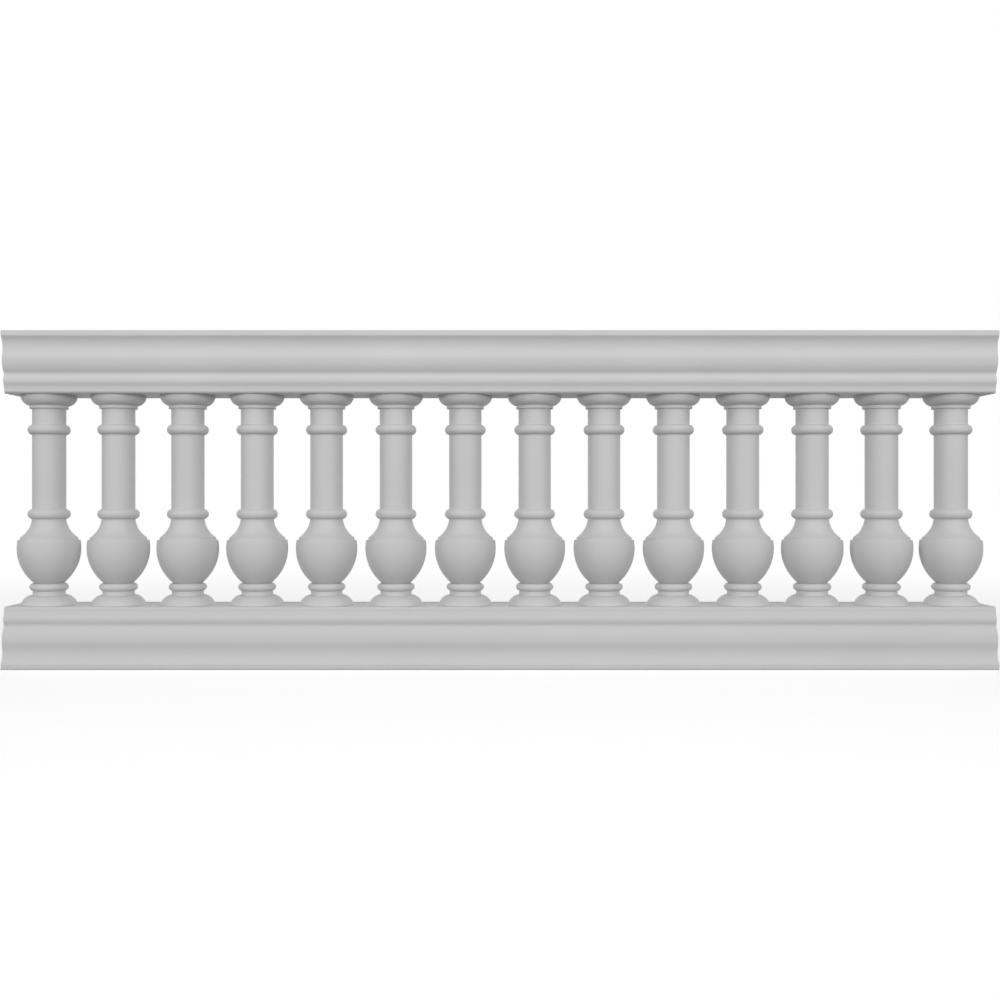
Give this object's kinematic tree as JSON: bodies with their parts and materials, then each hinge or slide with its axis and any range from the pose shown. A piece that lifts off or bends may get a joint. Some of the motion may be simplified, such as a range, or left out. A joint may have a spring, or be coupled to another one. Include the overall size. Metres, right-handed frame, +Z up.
{
  "type": "fiberglass balustrade",
  "caption": "Straight balustrade section: hollow turned balusters threaded on steel tubes and pinned between a moulded bottom rail and a matching top rail.",
  "frame": {"origin": "middle of the section, on the underside of the bottom rail", "axes": "+X along the rails, +Y across them, +Z up"},
  "size_m": [2.6566, 0.2164, 0.9047],
  "materials": {
    "fibreglass": "satin moulded gelcoat, pale stone grey",
    "steel": "plain galvanised tube"
  },
  "bodies": {
    "root": {"bottom_rail": "fibreglass", "top_rail": "fibreglass", "baluster_01": "fibreglass", "baluster_02": "fibreglass", "baluster_03": "fibreglass", "baluster_04": "fibreglass", "baluster_05": "fibreglass", "baluster_06": "fibreglass", "baluster_07": "fibreglass", "baluster_08": "fibreglass", "baluster_09": "fibreglass", "baluster_10": "fibreglass", "baluster_11": "fibreglass", "baluster_12": "fibreglass", "baluster_13": "fibreglass", "baluster_14": "fibreglass", "pin_01": "steel", "pin_02": "steel", "pin_03": "steel", "pin_04": "steel", "pin_05": "steel", "pin_06": "steel", "pin_07": "steel", "pin_08": "steel", "pin_09": "steel", "pin_10": "steel", "pin_11": "steel", "pin_12": "steel", "pin_13": "steel", "pin_14": "steel"}
  },
  "joints": []
}
